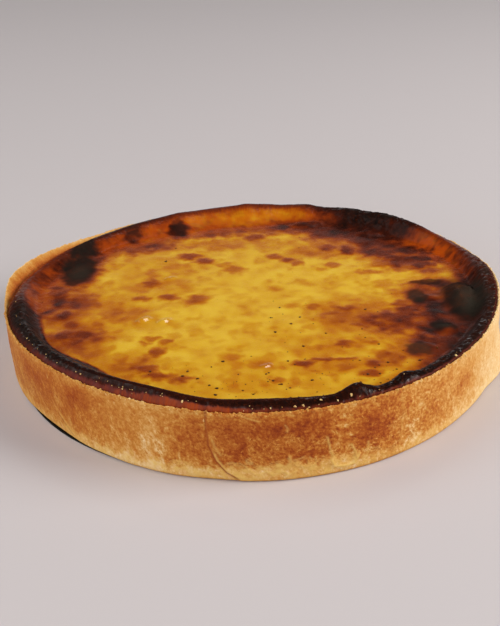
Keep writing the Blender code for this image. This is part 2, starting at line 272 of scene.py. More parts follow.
crust = {
    "columns": 1200,             # points round the turn, and the step between rows of them
    "rowHeight": 0.5,
    "seat": 1.7,                 # how far under the rim the skin rests
    "lip": 0.8,                  # width of the edge that shows outside the skin
    # the rim's section, mm in and mm down: up to that edge, and over the outer corner
    "lipSection": ((1.4, 1.4), (1.0, 1.15), (0.6, 0.9), (0.3, 0.6), (0, 0.3)),
    "rimSection": ((0.15, 0.2), (0.05, 0.55), (0, 0.95)),
    "bends": (11.0, 21.0),       # heights over the foot where the wall bends a little
    "belly": 0.2,                # how far it stands out at the upper bend
    "draft": 0.3,                # how much narrower it is at the foot
    "footTurn": 1.0,             # radius at the foot, and its section in and up in that radius
    "footSection": ((0.15, 0.6), (0.4, 0.25), (0.75, 0.05)),
    "droop": 0.7,                # how far the foot hangs down past the tin's base
    "lipRise": 3.9,              # how far the raised lip stands up and out
    "lipFlare": 3.8,
    "crumble": 0.60,             # how ragged the rim is
    "rimWave": (12, 0.22),       # slow waves of the rim's height and the wall: seed, size
    "wallWave": (11, 0.16),
    # relief of the wall: broad and fine unevenness, grain, thin flaked lines
    "mottle": 0.14,
    "fineMottle": 0.08,
    "grain": 0.05,
    "flecks": 0.13,
    "lean": 0.12,                # degrees round the turn for each mm up that the flakes lean
    "wander": 0.9,               # degrees that they stray from that
    "stretch": 0.34,             # below 1 draws them out up the wall
    # the thin lines, as size, seed and width: straight ones and curly ones
    "strokes": (1.5, 3, 0.13),
    "curls": (2.1, 5, 0.10),
    # random relief by what it is for: size in mm, seed, octaves
    "noises": {
        "patches": (9.0, 8, 3), "mottles": (2.6, 7, 3), "grain": (1.1, 9, 2), "drift": (13, 6, 2),
        "strokeGroups": (2.4, 4, 2), "curlGroups": (4.5, 13, 2), "stripTop": (5.0, 14, 3),
        "crumbs": (1.0, 21, 2), "clods": (3.2, 22, 2), "edge": (1.2, 23, 2),
    },
    # how much each of these browns or pales the wall
    "tones": {
        "patches": 0.10, "mottles": 0.06, "curlyMottles": 0.10, "grain": 0.10, "curlyGrain": 0.14,
        "foot": 0.16, "flecks": 0.14, "strip": 0.24,
    },
    # how much of the wall is curly rather than drawn out, by angle
    "curly": ((-180, 0.1), (-120, 0.2), (-98, 0.5), (-75, 1), (-52, 0.9), (-40, 0.5), (0, 0.2), (90, 0.4)),
    # how much softer the fine pattern is, by angle
    "calm": (
        (-180, 0.5), (-150, 0.4), (-115, 0.3), (-98, 0), (-62, 0), (-42, 0.45), (-20, 0.85), (20, 0.85),
        (90, 0.3),
    ),
    "paleStrip": 4.0,            # height of the paler strip round the foot
    "stripHeight": 0.10,         # how far it stands out, and its edge
    "stripEdge": 0.14,
    "scallops": (31, 5.5, (23, 37, 51)),             # its upper edge: seed, size, waves round the turn
    "stripRagged": 2.6,
    "stripRises": ((-77, 13, 2.6), (-92, 9, 2.6)),   # where it is higher: angle, spread, by how much
    "stripAmount": (
        (-180, 0.3), (-140, 0.55), (-118, 0.95), (-90, 1), (-76, 0.9), (-62, 0.55), (-45, 0.5), (-25, 0.4),
        (90, 0.6),
    ),
    # the joint of the pastry strip: angle, height over the foot
    "seam": ((-100.4, 33), (-100.4, 24), (-100.2, 16), (-99, 9), (-96.9, 3.4), (-94.6, 0.6)),
    "seamDepth": 0.11,
    "seamWidth": 0.5,
    "beadHeight": 0.28,          # the edge beside it
    "seamStep": 0.5,             # how far the wall stands out there, and over how many degrees it fades
    "seamFade": 14,
    # finer creases: the line as angle and height, depth, width, how pale, and how much painted shade lies
    # along it
    "creases": (
        (((-99.3, 19), (-98.8, 15.2), (-97.9, 12)), -0.25, 0.5, 0.5, 0),
        (((-61.8, 28), (-61.6, 17), (-62, 6)), 0.08, 0.35, 0, 0.15),
        (((-61.2, 28), (-61, 17), (-61.5, 6)), -0.08, 0.5, 0.15, 0),
        (((-138.4, 9.5), (-136.5, 6.5), (-132.9, 2.2)), -0.3, 0.6, 0.55, 0),
        (((-139.2, 9.2), (-137.3, 6), (-133.7, 1.9)), 0.12, 0.35, 0, 0.5),
        (((-76.6, 6.4), (-76, 3.4), (-73.4, 2.6), (-71.9, 3.2), (-71.2, 6.4)), -0.6, 0.9, 1, 0),
        (((-84.6, 9), (-83.4, 6.2), (-80.9, 5.2), (-79.6, 7)), -0.2, 0.45, 0.7, 0),
        (((-93, 6.4), (-91, 2.6), (-89.2, 4.6), (-88, 2.2), (-86.3, 4.4), (-85, 2.4), (-83.5, 4)),
         -0.3, 0.5, 0.9, 0),
        (((-84.8, 11), (-84.7, 7.7)), -0.3, 0.4, 1, 0),
        (((-77.6, 18), (-76.8, 10.5), (-75.3, 4.5)), -0.22, 0.4, 0.8, 0),
        (((-72.6, 12), (-71.7, 8), (-72.2, 3.8)), -0.35, 0.45, 0.9, 0),
        (((-69.1, 11.4), (-69.1, 6.2)), -0.2, 0.4, 0.7, 0),
        (((-85.5, 25.6), (-85, 23.8), (-85.3, 22.6)), -0.15, 0.35, 0.5, 0),
        (((-93, 30), (-90.4, 28)), -0.15, 0.35, 0.5, 0),
    ),
    # where the foot spreads: angles where it starts, is full, fades and ends, then by how much
    "spreads": ((-29, -18, 2, 28, 3.4), (184, 200, 214, 229, -0.75), (222, 233, 252, 262, 0.9)),
    "spreadHeight": 20,          # how far up the wall it reaches
    "lift": (-151, 8, 0.3),      # where the foot is lifted: angle, spread, by how much
    # how browned the wall is, by angle
    "bake": (
        (-180, 0.52), (-165, 0.58), (-150, 0.62), (-133, 0.62), (-122, 0.52), (-113, 0.45), (-105, 0.56),
        (-99, 0.68), (-90, 0.72), (-80, 0.74), (-72, 0.66), (-66, 0.7), (-58, 0.53), (-48, 0.47),
        (-38, 0.34), (-25, 0.19), (-8, 0.14), (25, 0.3), (70, 0.5), (110, 0.46), (145, 0.46),
    ),
    # darker and paler patches of the wall: angle, height, half sizes, amount
    "patches": (
        (-131, 21, 5, 6, 0.14), (-105, 16, 3, 6, 0.12), (-91, 18, 5, 8, 0.06), (-84, 25, 7, 5, 0.08),
        (-68, 17, 4, 6, 0.12), (-41, 17, 4, 5, 0.22), (-50, 13, 3, 4, 0.12), (-146, 22, 5, 5, 0.12),
        (-113, 12, 2, 16, -0.08), (-75, 20, 2, 8, -0.1), (-60, 14, 2, 14, -0.1), (-101, 24, 1, 9, -0.06),
    ),
    "lipInner": 0.38,            # browning inside the raised lip
}


def shellRings():
    # from the middle of the inner floor out, over the rim and back under the foot
    rim, top, foot = flan["rim"], flan["top"], flan["foot"]
    inner, floor, full = rim - flan["wall"], foot + flan["floor"], crust["columns"]
    seat, lip, turn = crust["seat"], crust["lip"], crust["footTurn"]
    rings = [(1, 0, floor), (75, 20, floor), (150, 55, floor), (300, 90, floor), (600, inner - 1.8, floor),
             (600, inner - 0.6, floor + 0.8), (600, inner - 0.2, floor + 2), (600, inner, foot + 15.7),
             (600, inner + 0.2, top - seat - 0.6), (full, inner + 0.8, top - seat),
             (full, rim - lip - 2.0, top - seat + 0.1)]
    rings += [(full, rim - lip - back, top - down) for back, down in crust["lipSection"]]
    rings += [(full, rim - 0.6 * lip, top - 0.05), (full, rim - 0.35 * lip, top)]
    rings += [(full, rim - back, top - down) for back, down in crust["rimSection"]]
    low, high = crust["bends"]
    start, end = top - 1.3 - foot, turn
    for height in np.linspace(start, end, round((start - end) / crust["rowHeight"]) + 1):
        knots = (turn, low, high, start)
        out = np.interp(height, knots, (-crust["draft"], -crust["draft"] / 3, crust["belly"], 0))
        rings.append((full, rim + out, foot + height))
    edge = rim - crust["draft"]
    rings += [(full, edge - back * turn, foot + up * turn) for back, up in crust["footSection"]]
    rings += [(full, edge - 1.3 * turn, foot), (full, edge - 2.3, foot), (600, edge - 6, foot)]
    return rings + [(300, 90, foot), (150, 55, foot), (75, 20, foot), (1, 0, foot)]


def lineReach(along, height, line):
    # distance in mm from a line on the wall, and the signed distance to its right
    best, side = np.full_like(along, 1e6), np.zeros_like(along)
    for (angleA, heightA), (angleB, heightB) in zip(line, line[1:]):
        start = np.array((radians(angleA) * flan["rim"], heightA))
        step = np.array((radians(angleB) * flan["rim"], heightB)) - start
        dx, dy = along - start[0], height - start[1]
        share = np.clip((dx * step[0] + dy * step[1]) / (step @ step), 0, 1)
        offX, offY = dx - share * step[0], dy - share * step[1]
        reach = np.hypot(offX, offY)
        closer = reach < best
        best = np.where(closer, reach, best)
        side = np.where(closer, np.sign(step[0] * offY - step[1] * offX) * reach, side)
    return best, side


def footSpread(angle, height):
    out = 0.0
    for start, full, fading, end, size in crust["spreads"]:
        past = (angle - start) % 360
        gone = smooth((past - (fading - start)) / (end - fading))
        out = out + size * smooth(past / (full - start)) * (1 - gone)
    return out * smooth(1 - (height - flan["foot"]) / crust["spreadHeight"])


def makeCrust():
    rings = shellRings()
    angle, radius, height = spreadRings(rings)
    rim, top, foot = flan["rim"], flan["top"], flan["foot"]
    level = height - foot
    onLip = (radius > rim - crust["lip"] - 0.1) & (level > 4)
    onWall = (radius > rim - 4) & (height < top - 0.8)
    outside = fadeIn(radius, rim - 4, 2.5) * fadeIn(level, 0, 1.5)

    # places for the noise: plain, and drawn out up the wall as the dough was rolled
    plain = onTurn(angle, rim * np.ones_like(radius), level)

    def noisy(kind):
        return fractal(plain, *crust["noises"][kind])

    drift = crust["lean"] * level + crust["wander"] * noisy("drift")
    rolled = onTurn(angle + drift, rim * np.ones_like(radius), crust["stretch"] * level)
    patches, mottles, grain = noisy("patches"), noisy("mottles"), noisy("grain")

    # thin flaked lines, straight or curly, in broken groups
    curly = roundTurn(angle, crust["curly"], 1)
    straight = thinLines(rolled, *crust["strokes"]) * fadeIn(noisy("strokeGroups"), 0.12, 0.25)
    curls = thinLines(plain, *crust["curls"]) * fadeIn(noisy("curlGroups"), -0.02, 0.25)
    flecks = np.maximum(straight * (1 - 0.5 * curly), curls * curly)

    # the paler strip round the foot, with its scalloped upper edge
    scallops = np.abs(uneven(angle, *crust["scallops"]))
    stripTop = crust["paleStrip"] + scallops + crust["stripRagged"] * noisy("stripTop")
    stripTop += sum(rise * bell(angle, *where) for *where, rise in crust["stripRises"])
    stripAmount = roundTurn(angle, crust["stripAmount"], 1) * (level > 0)
    strip = fadeOut(level, stripTop, 2.4) * stripAmount
    stripEdge = hump(level - stripTop, 0.45) * stripAmount * fadeIn(mottles, -0.25, 0.3)

    # the seam and the creases, with painted shade along the seam and beside the raised creases
    along = np.radians(angle) * rim
    seamReach, seamSide = lineReach(along, level, crust["seam"])
    # a dark line of painted shade along the seam, where the overlapping strip would shade the wall; the
    # same mask shapes its groove
    lineShade = hump(seamReach, crust["seamWidth"])
    groove = -crust["seamDepth"] * lineShade
    bead = crust["beadHeight"] * hump(seamSide - 1.1, 0.55)
    seamAngles, heights = zip(*reversed(crust["seam"]))
    past = (angle - np.interp(level, heights, seamAngles)) % 360
    step = crust["seamStep"] * np.clip(1 - past / crust["seamFade"], 0, 1)
    step = step * np.exp(-0.25 * bell(past, 0, 0.4))
    pale = 0.8 * hump(seamSide - 1.0, 0.6) * fadeOut(level, 16, 6)
    creased = np.zeros_like(angle)
    for line, depth, width, paleness, shadeAmount in crust["creases"]:
        mark = hump(lineReach(along, level, line)[0], width)
        creased -= depth * mark
        pale = np.maximum(pale, paleness * mark)
        lineShade = np.maximum(lineShade, shadeAmount * mark)

    # the relief of the wall, and how the rim, the lip and the foot stray from their sections
    relief = crust["mottle"] * patches + crust["fineMottle"] * mottles
    relief = relief + crust["flecks"] * flecks + crust["grain"] * grain
    relief += crust["stripHeight"] * strip + crust["stripEdge"] * stripEdge
    near = fadeOut(top - height, 2.4, 1.8)          # close under the rim
    raised = fadeIn(level, 14, top - foot - 14)
    lip = lipShare(angle)
    out, up = np.zeros_like(angle), np.zeros_like(angle)
    climb = np.clip((radius - (rim - crust["lip"] - 1.5)) / 1.4, 0, 1) * (level > 4)
    out += crust["lipFlare"] * lip * raised * climb
    up += (crust["lipRise"] * lip * raised + swellAt(angle) * fadeIn(level, 16, 12)) * climb ** 1.3
    up += np.where(onLip, uneven(angle, *crust["rimWave"]) * fadeIn(level, 20, 10), 0)
    crumbs = 0.7 * noisy("crumbs") + 0.6 * noisy("clods")
    up += np.where(onLip & (height > top - 1.2), crust["crumble"] * (crumbs + 0.25) * near, 0)
    out += np.where(onLip, 0.45 * crust["crumble"] * noisy("edge") * near, 0)
    out += np.where(onWall, step + uneven(angle, *crust["wallWave"]) + footSpread(angle, height), 0)
    out += np.where(radius > rim - 4, outside * (relief + groove + bead + creased), 0)
    *liftAt, liftHeight = crust["lift"]
    nearFoot = (radius > rim - 6) & (level < 3)
    up += np.where(nearFoot, liftHeight * bell(angle, *liftAt), 0)
    up += np.where(nearFoot & (level > 0.3), 0.12 * patches * fadeIn(level, 0, 1.5), 0)
    reach = radius * roundness(angle) + out
    turn = np.radians(angle)
    past = np.hypot(reach * np.cos(turn) - flan["tinX"], reach * np.sin(turn) - flan["tinY"])
    hanging = crust["droop"] * smooth((past - flan["tinRadius"] - 0.4) / 0.7)
    up -= hanging * fadeOut(level, 2.0, 2.0) * (level > -0.1)
    points = onTurn(angle, reach, height + up)

    # how browned it is, and where pale flakes show
    bake = roundTurn(angle, crust["bake"], 1)
    bake = bake * (0.86 + 0.14 * fadeIn(level, 3, 7)) * (0.85 + 0.15 * fadeOut(level, 30, 4))
    for centre, tall, halfAngle, halfHeight, amount in crust["patches"]:
        away = ((angle - centre) / halfAngle) ** 2
        bake += amount * np.exp(-away - ((level - tall) / halfHeight) ** 2)
    calm = roundTurn(angle, crust["calm"], 1)
    lively = (1 - 0.3 * strip) * (1 - 0.7 * calm)
    tones = crust["tones"]
    bake += (tones["patches"] * patches + (tones["mottles"] + tones["curlyMottles"] * curly) * mottles
             + (tones["grain"] + tones["curlyGrain"] * curly) * grain) * lively
    bake += tones["foot"] * fadeOut(level, 1.1, 0.8) - tones["flecks"] * flecks - tones["strip"] * strip
    inLip = smooth(2.5 * lip) * fadeOut(radius, rim - 0.2, 0.5) * (level > 20)
    inner = crust["lipInner"] + 0.4 * fadeOut(radius, rim - 0.7, 1.4) + 0.1 * patches
    bake += (inner - bake) * inLip - 0.5 * lip * (1 - inLip) * fadeIn(level, 26, 5)
    pale = np.maximum(pale, 0.35 * fadeIn(crumbs, -0.15, 0.7) * near * (1 - inLip))
    pale = np.maximum(pale, np.maximum(0.6 * strip * (0.8 + 1.2 * mottles), 0.7 * stripEdge))
    lowDown = smooth((26 - level - 5 * patches) / 10)
    fields = {
        "bake": bake, "pale": np.clip(pale, 0, 1), "lineShade": lineShade * outside, "rolled": rolled * mm,
        "curl": curly, "calm": calm, "fleckShare": outside * lively * (0.35 + 0.65 * lowDown),
        "flakeShare": outside * (level < 28) * fadeIn(flecks, 0.3, 0.4) * (0.3 + 0.7 * curly),
        "crumbShare": (height > top - 1.0) * (radius > rim - crust["lip"] - 0.05) * (1 - smooth(3 * lip)),
    }
    return makeMesh("pastry_crust", points, ringFaces([ring[0] for ring in rings]), fields)


crustPiece = makeCrust()
print("pastry shell:", len(crustPiece.data.polygons), "faces")


custard = {
    "centre": 27.0,              # level of the middle over the shell's foot
    "dish": 1.1,                 # how much higher it would be at the rim
    "crest": 32.4,               # level of the ridge, and how far in from the rim it is
    "crestInset": 4.5,
    "crestWave": (21, 0.3),      # slow waves of the crest and of the skin's edge: seed, size
    "edgeWave": (22, 0.1),
    "slopeFoot": 11,             # how far in its slope ends, and how much further at the back and left
    "backSlope": 15,
    "leftSlope": 3.5,
    "back": (92, 46),            # these two as angle and spread
    "left": (-165, 28),
    "skinInset": 1.15,           # how far in from the rim the skin ends
    "skinThickness": 1.4,
    "skinTop": 32.7,             # level of the top of its edge
    "skinRounding": 2.2,         # power of the curve from its edge up to the crest
    "skinPull": 0.7,             # how far it draws in and climbs where the lip is raised
    "climb": 0.7,
    "ragged": 0.7,               # how uneven the skin's edge is
    "domeLumps": 0.35,           # how lumpy the burnt domes are
    "spotHeight": 0.16,          # how far a brown spot swells
    "warp": 2.2,                 # how far the outlines of spots stray
    # random relief by what it is for: size in mm, seed, octaves
    "noises": {
        "domes": (6.0, 55, 3), "lumps": (2.6, 31, 3), "pits": (1.2, 32, 2), "wrinkle": (1.0, 33, 2),
        "folds": (4.0, 36, 2), "swells": (16, 34, 2), "ripples": (4, 35, 2), "warpX": (5.0, 41, 2),
        "warpY": (5.0, 42, 2), "tatters": (0.9, 24, 2), "scallops": (3.0, 25, 2), "clouds": (14, 43, 2),
        "smallClouds": (7, 44, 2), "blooms": (7, 52, 2), "streaks": (7, 45, 2), "fineStreaks": (2.6, 46, 2),
        "sootX": (6, 47, 3), "sootY": (6, 48, 3), "sootBand": (4, 49, 3), "amber": (6, 53, 3),
        "glints": (1.7, 54, 3), "redLine": (5, 50, 2),
    },
    # burnt domes: x, y, half length, half width, height
    "domes": (
        (101, -17, 11, 21, 5.2), (87, -48, 6, 6, 1.6), (73, -65, 7, 5, 1.3), (84, -13, 8, 4, 0.8),
        (-93, 50, 8, 20, 1.3), (-41, 91, 9, 6, 1.4), (33, 93, 12, 5, 1.2), (70, 76, 12, 8, 1.5),
    ),
    # where the ridge is higher: angle, spread on each side, rise
    "rises": (
        (-115, 25, 16, 3.3), (-88, 13, 13, 2.2), (-160, 22, 20, 1.6), (100, 35, 40, 0.9),
        (-70.5, 3.2, 3.2, 3.1), (-58.5, 3, 3, 2.2), (45, 13, 11, 3.8), (60, 5, 5, 1.3), (36, 3, 3, 0.6),
        (1, 16, 11, 3.1), (112, 4, 5, 0.8), (91, 2.5, 2.5, 0.9), (81, 3, 3, -0.8), (73, 2.5, 2.5, 1),
        (-176, 7, 7, 1.2),
    ),
    # where the foot of the slope lies further in: angle, spread, by how much
    "footShifts": ((-135, 9, 3.6), (-154, 8, -2.2)),
    # how glossy the crest of the ridge is in places, by angle
    "gloss": (
        (-180, 0.25), (-150, 0.35), (-128, 0.15), (-105, 0.25), (-95, 0.6), (-86, 0.5), (-76, 0.35),
        (-70, 0.8), (-64, 0.3), (-58, 0.8), (-50, 0.4), (-42, 1), (-32, 1), (-22, 0.5), (-10, 0.5),
        (10, 0.2), (60, 0.2), (150, 0.1),
    ),
    "crisp": (-150, 24),         # the burnt band ends sharply here: angle, spread
    "maroonSheen": (-131, 16),        # the red edge is darkest here, with a painted pinkish sheen
    "crumbFront": (-106, 48, 32),                    # most crumbs lie here: angle, spread on each side
    # small pimples that catch the light: x, y, half size, slope, the side they slope down to
    "pimples": (
        (-53, -25, 2.7, 0.345, -46), (-43, -27, 2.5, 0.33, -49), (4, -76, 2.1, 0.245, -62),
        (-43, 24, 1.9, 0.35, -52),
    ),
    # by angle: browning at the skin's edge, outer side, crest, slope and foot, then mm to fade,
    # how rough the ridge is, how sooty it is, and how red its edge is
    "ridgeTones": (
        (-180, 0.62, 0.7, 0.74, 0.64, 0.54, 8, 0.22, 0.1, 0.3),
        (-168, 0.84, 0.95, 0.96, 0.92, 0.7, 2, 0.44, 0.7, 0),
        (-150, 0.88, 0.98, 1, 0.98, 0.88, 1.5, 0.4, 0.7, 0.4),
        (-138, 0.78, 0.97, 0.99, 0.98, 0.86, 1.5, 0.18, 0.2, 0.85),
        (-127, 0.74, 0.94, 0.96, 0.95, 0.64, 2, 0.1, 0, 0.9),
        (-115, 0.72, 0.93, 0.9, 0.88, 0.34, 3, 0.06, 0, 0.95),
        (-98, 0.8, 0.95, 0.87, 0.82, 0.22, 3.5, 0.08, 0, 1),
        (-91, 0.88, 0.97, 0.86, 0.78, 0.22, 4, 0.1, 0, 0.75),
        (-82, 0.92, 0.98, 0.88, 0.8, 0.24, 4, 0.14, 0, 0.6),
        (-65, 0.94, 1, 1, 0.96, 0.34, 5, 0.18, 0, 0.55),
        (-50, 0.94, 0.99, 0.99, 0.84, 0.58, 8, 0.34, 0.2, 0.5),
        (-35, 0.88, 0.94, 0.92, 0.86, 0.82, 12, 0.5, 0.4, 0.4),
        (-15, 0.84, 0.88, 0.88, 0.86, 0.82, 9, 0.6, 0.6, 0.3),
        (0, 0.82, 0.86, 0.84, 0.86, 0.8, 7, 0.54, 0.55, 0.3),
        (12, 0.8, 0.84, 0.8, 0.74, 0.66, 7, 0.26, 0.1, 0),
        (22, 0.66, 0.72, 0.68, 0.6, 0.62, 12, 0.08, 0, 0),
        (31, 0.7, 0.76, 0.7, 0.58, 0.62, 14, 0.08, 0, 0),
        (37, 0.86, 0.92, 0.9, 0.78, 0.76, 20, 0.2, 0.05, 0),
        (44, 0.94, 0.98, 0.98, 0.92, 0.84, 24, 0.38, 0.45, 0),
        (60, 0.94, 0.98, 0.97, 0.9, 0.84, 24, 0.34, 0.35, 0),
        (68, 0.86, 0.95, 0.9, 0.64, 0.82, 18, 0.2, 0, 0),
        (76, 0.76, 0.88, 0.76, 0.4, 0.74, 12, 0.1, 0, 0),
        (90, 0.76, 0.9, 0.74, 0.38, 0.56, 9, 0.08, 0, 0),
        (105, 0.76, 0.88, 0.72, 0.44, 0.52, 9, 0.08, 0, 0),
        (120, 0.78, 0.89, 0.82, 0.6, 0.56, 10, 0.1, 0, 0),
        (135, 0.84, 0.93, 0.86, 0.68, 0.6, 11, 0.1, 0, 0),
        (150, 0.62, 0.72, 0.78, 0.82, 0.8, 12, 0.1, 0.2, 0.1),
        (165, 0.54, 0.64, 0.7, 0.72, 0.68, 12, 0.14, 0, 0.3),
    ),
    # how high the red edge reaches, by angle: 0 at the skin's edge, 1 at the crest
    "redLine": (
        (-170, 0.6), (-148, 0.44), (-138, 0.28), (-126, 0.28), (-117, 0.3), (-110, 0.44), (-104, 0.42),
        (-98, 0.32), (-91, 0.19), (-80, 0.16), (-60, 0.2), (-30, 0.25), (30, 0.3), (120, 0.3),
    ),
    # how clear and orange the inner slope is, by angle
    "amber": (
        (-180, 0.2), (-165, 0), (0, 0), (10, 0.3), (17, 0.65), (24, 0.85), (30, 0.65), (37, 0.1), (70, 0.2),
        (90, 0.3), (110, 0.4), (140, 0.4), (165, 0.3),
    ),
    # broad warmer areas of the open custard: x, y, half sizes, amount
    "areas": (
        (74, 60, 26, 26, 0.74), (82, 36, 20, 12, 0.68), (94, -2, 14, 18, 0.66), (48, 74, 24, 15, 0.58),
        (20, 88, 30, 9, 0.6), (-20, 86, 26, 8, 0.6), (-60, 72, 22, 14, 0.6), (-92, 50, 15, 26, 0.68),
        (-96, -6, 22, 32, 0.59), (-85, -42, 22, 25, 0.54), (-66, -14, 20, 28, 0.38),
        (-60, -72, 24, 16, 0.38), (88, -34, 21, 37, 0.8), (66, -38, 19, 17, 0.63), (76, -62, 18, 16, 0.68),
        (44, -78, 30, 10, 0.4), (46, -30, 26, 30, 0.38), (30, -60, 34, 20, 0.32), (38, 56, 19, 16, 0.46),
        (92, 20, 12, 7, 0.54), (82, 24, 9, 5, 0.54), (100, 36, 8, 10, 0.7), (-52, 28, 40, 44, 0.29),
        (-10, 68, 56, 10, 0.38), (0, -86, 76, 26, 0.26),
    ),
    "plain": 0.16,               # browning of the open middle
    # brown spots: x, y, half sizes, amount
    "spots": (
        (-53, 19, 5, 4.6, 0.62), (-57, 0, 4.5, 3.4, 0.58), (-43, 0, 5.6, 3.8, 0.58),
        (-28, -3, 6, 5.2, 0.52), (-35, 53, 6, 4.6, 0.7), (-26, 46, 5.5, 4, 0.62), (-10, 33, 5.5, 5, 0.52),
        (-16, 39, 4, 3, 0.42), (-35, 12, 3.6, 3.6, 0.34), (-24, 22, 4, 3.4, 0.32), (-45, 44, 4, 4, 0.28),
        (-73, 42, 4, 6, 0.38), (-67, 52, 3.5, 5, 0.36), (-77, 60, 5, 5, 0.54), (-66, 58, 3, 4, 0.5),
        (-55, 66, 3, 6, 0.5), (-20, 74, 4, 4, 0.46), (-48, 60, 3, 5, 0.34), (-68, 81, 6.5, 8, 0.88),
        (-42, 89, 8.5, 10, 0.92), (-54, 78, 4.5, 5, 0.5), (-31, 84, 4, 6, 0.62), (-8, 84, 6, 5, 0.56),
        (2, 78, 6, 5.5, 0.64), (-20, 90, 8, 6, 0.64), (-54, 93, 6, 5, 0.66), (-6, 92, 8, 5, 0.62),
        (-90, 6, 6, 5, 0.6), (-80, -3, 4.5, 4.5, 0.54), (-70, -6, 3.5, 3.5, 0.42), (-60, -12, 3.5, 5, 0.42),
        (-84, -11, 3, 4, 0.5), (-92, -16, 4.5, 6, 0.74), (-88, -28, 4.5, 5, 0.62), (-90, -39, 6, 6, 0.72),
        (-78, -22, 3, 4, 0.4), (-100, 12, 7, 8, 0.74), (-96, -5, 4, 5, 0.58), (-48, -44, 5, 2.4, 0.48),
        (-42, -49, 2.6, 3.2, 0.52), (-51, -49, 2.6, 2.6, 0.44), (-45, -59, 3.6, 5.2, 0.58),
        (-60, -44, 4, 3, 0.3), (-12, -67, 5.4, 4.6, 0.4), (-28, -40, 4, 5, 0.3), (-15, -30, 6, 4.5, 0.24),
        (-4, -46, 5, 4, 0.2), (-48, -75, 5.5, 4, 0.64), (-43, -81, 7.5, 3.6, 0.66), (-33, -84, 6, 3, 0.58),
        (-66, -66, 6, 5, 0.36), (-54, -86, 6, 3, 0.44), (10, 6, 4, 4.5, 0.42), (12, 48, 5, 4.2, 0.56),
        (19, 43, 4.5, 4, 0.6), (24, 38, 3.4, 3.4, 0.54), (42, 33, 4.6, 3.2, 0.5), (36, 28, 3.2, 2.6, 0.42),
        (42, 57, 6, 6, 0.64), (52, 53, 6, 7, 0.7), (36, 66, 5, 5, 0.5), (17, -15, 6, 3, 0.36),
        (29, -17, 4.4, 3.4, 0.5), (44, -20, 5.5, 3.8, 0.6), (38, -25, 4, 2.8, 0.54),
        (66, -34, 9.5, 8, 0.74), (71, -27, 6, 6, 0.7), (58, -38, 5, 4, 0.66), (76, -44, 3.6, 4.6, 0.66),
        (47, -39, 3, 2.6, 0.56), (25, -38, 2.6, 4, 0.36), (40, -57, 5.5, 4.4, 0.56), (52, -59, 3.6, 3, 0.5),
        (33, -60, 3, 2.5, 0.36), (20, -75, 5.5, 3, 0.66), (29, -72, 6.5, 2.2, 0.6), (39, -72.5, 6, 2, 0.58),
        (38, -80, 5.5, 3.4, 0.52), (50, -78, 4, 3.6, 0.6), (55, -70, 5, 5, 0.56), (60, -74, 5, 7, 0.58),
        (8, -89, 3.4, 3, 0.48), (48, -86, 5, 3.6, 0.58), (20, -84, 4, 2.4, 0.34), (30, -86, 4, 2.4, 0.36),
        (78, -56, 5, 6, 0.66), (84, -34, 5, 7, 0.7), (5, 90, 6, 5, 0.62), (18, 91, 7.5, 5.5, 0.86),
        (31, 92, 8, 5, 0.84), (43, 92, 7, 6, 0.84), (12, 82, 5, 4, 0.56), (25, 82, 5, 4, 0.5),
        (66, 80, 9, 9, 0.92), (78, 69, 9, 9, 0.9), (58, 90, 8, 7, 0.86), (85, 49, 9, 8, 0.84),
        (94, 44, 6, 7, 0.8), (72, 50, 9, 8, 0.7), (70, 31, 9, 5, 0.6), (89, 28, 8, 4.5, 0.78),
        (60, 66, 6, 7, 0.66), (92, 30, 5, 5, 0.62), (72, -66, 8, 9, 0.68), (86, -46, 9, 9, 0.72),
        (80, -11, 8, 12, 0.68), (88, 3, 13, 7, 0.62), (-93, 34, 11, 18, 0.8), (60, 22, 7, 3, 0.46),
        (-87, 71, 5.5, 9, 0.76), (-79, 66, 4, 4, 0.68), (-67, 64, 5, 3, 0.6), (-55, 98, 6, 6, 0.8),
        (74, 84, 11, 8, 0.97), (60, 93, 9, 6, 0.96), (90, 36, 8, 5, 0.86), (76, 40, 7, 4, 0.74),
        (97, -51, 7, 9, 0.86), (89, -61, 8, 7, 0.84), (72, -18, 6, 5, 0.62), (-40, 88, 6, 5, 0.7),
    ),
    # sooty places: x, y, half sizes, amount
    "soot": (
        (101.5, -18, 10.8, 23, 1), (86, -46, 5.5, 6, 0.95), (71, -66, 6, 6.5, 0.8), (80, -11, 5, 8, 0.85),
        (88, 5, 9, 3.8, 0.85), (-94, 61, 7.5, 14, 0.95), (-93, 40, 9, 17, 1), (-94, 24, 5, 5, 0.8),
        (-68, 86, 4, 6, 0.5), (-41, 92, 5, 7, 0.5), (92, -66, 10, 6, 0.3), (104, -40, 5, 12, 0.4),
    ),
    "ashAndSheen": (                     # paler, greyer soot: partly ash, partly a painted sheen and the lit side of the big blister
        (102, -23, 6, 11, 0.7), (-92, 34, 5, 8, 0.5), (86, -46, 3, 3, 0.5), (80, -11, 4, 6, 0.55),
        (71, -66, 5, 5, 0.55), (114, -8, 7, 26, 0.45),
    ),
    "wedge": ((74, 8), (84.8, 10.6), (91.8, 14.5), (101, 22)),   # where a strip stayed yellow
    "wedgeWidth": 1.6,
}


